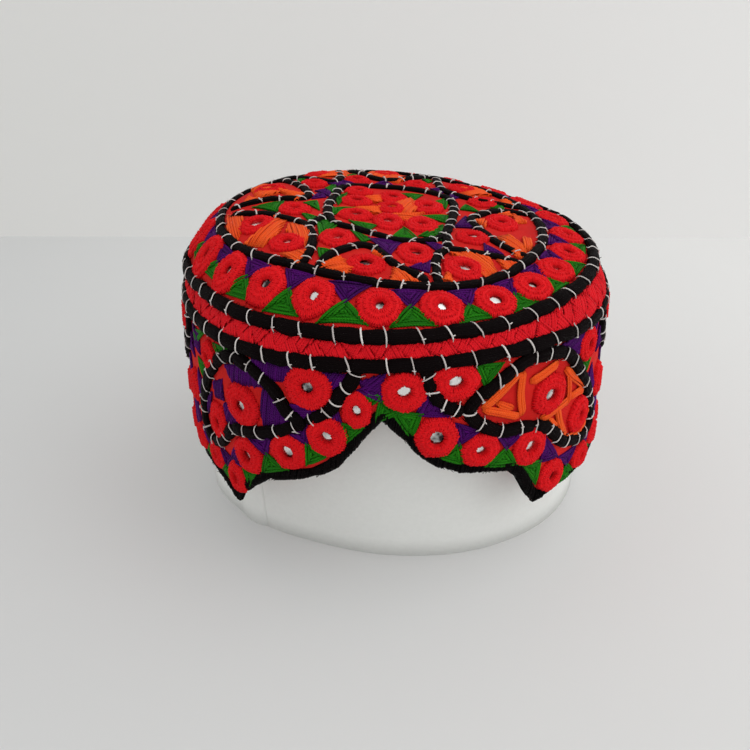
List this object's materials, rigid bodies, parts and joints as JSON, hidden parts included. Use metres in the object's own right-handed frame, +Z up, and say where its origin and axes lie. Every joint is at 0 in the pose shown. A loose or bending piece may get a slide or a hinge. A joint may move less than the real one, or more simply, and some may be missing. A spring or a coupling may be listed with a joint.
{
  "type": "sindhi cap on a paper band stand",
  "caption": "Round embroidered cloth cap with a pointed arch cut in its front rim, domed top and mirror rosettes, on a plain oval paper band.",
  "frame": {"origin": "on the floor under the middle of the cap's box, at the lower edge of the paper band", "axes": "+Z up, -Y towards the arch in the front rim, +X to the right as seen from the front"},
  "size_m": [0.1822, 0.1871, 0.1351],
  "materials": {
    "white_paper": "matt white card",
    "red_cloth": "plain woven cloth",
    "black_thread": "soft couched cord",
    "red_thread": "buttonhole stitch"
  },
  "bodies": {
    "root": {"paper_stand": "white_paper", "side_wall": "red_cloth", "red_band": "red_cloth", "crown": "red_cloth", "rim_binding": "black_thread", "wall_top_cord": "black_thread", "crown_edge_cord": "black_thread", "medallion_cord": "black_thread", "centre_cord": "black_thread", "petal_cord_1": "black_thread", "petal_cord_2": "black_thread", "petal_cord_3": "black_thread", "petal_cord_4": "black_thread", "petal_cord_5": "black_thread", "petal_cord_6": "black_thread", "petal_cord_7": "black_thread", "petal_cord_8": "black_thread", "leaf_cord_right_1": "black_thread", "leaf_cord_right_2": "black_thread", "leaf_cord_right_3": "black_thread", "leaf_cord_left_1": "black_thread", "leaf_cord_left_2": "black_thread", "leaf_cord_left_3": "black_thread", "loop_cord_right_1": "black_thread", "loop_cord_right_2": "black_thread", "loop_cord_right_3": "black_thread", "loop_cord_left_1": "black_thread", "loop_cord_left_2": "black_thread", "loop_cord_left_3": "black_thread", "loop_cord_back": "black_thread", "border_rosette_01": "red_thread", "border_rosette_02": "red_thread", "border_rosette_03": "red_thread", "border_rosette_04": "red_thread", "border_rosette_05": "red_thread", "border_rosette_06": "red_thread", "border_rosette_07": "red_thread", "border_rosette_08": "red_thread", "border_rosette_09": "red_thread", "border_rosette_10": "red_thread", "border_rosette_11": "red_thread", "border_rosette_12": "red_thread", "border_rosette_13": "red_thread", "border_rosette_14": "red_thread", "border_rosette_15": "red_thread", "border_rosette_16": "red_thread", "border_rosette_17": "red_thread", "border_rosette_18": "red_thread", "border_rosette_19": "red_thread", "border_rosette_20": "red_thread", "border_rosette_21": "red_thread", "border_rosette_22": "red_thread", "petal_rosette_1": "red_thread", "petal_rosette_2": "red_thread", "petal_rosette_3": "red_thread", "petal_rosette_4": "red_thread", "petal_rosette_5": "red_thread", "petal_rosette_6": "red_thread", "petal_rosette_7": "red_thread", "petal_rosette_8": "red_thread"}
  },
  "joints": []
}
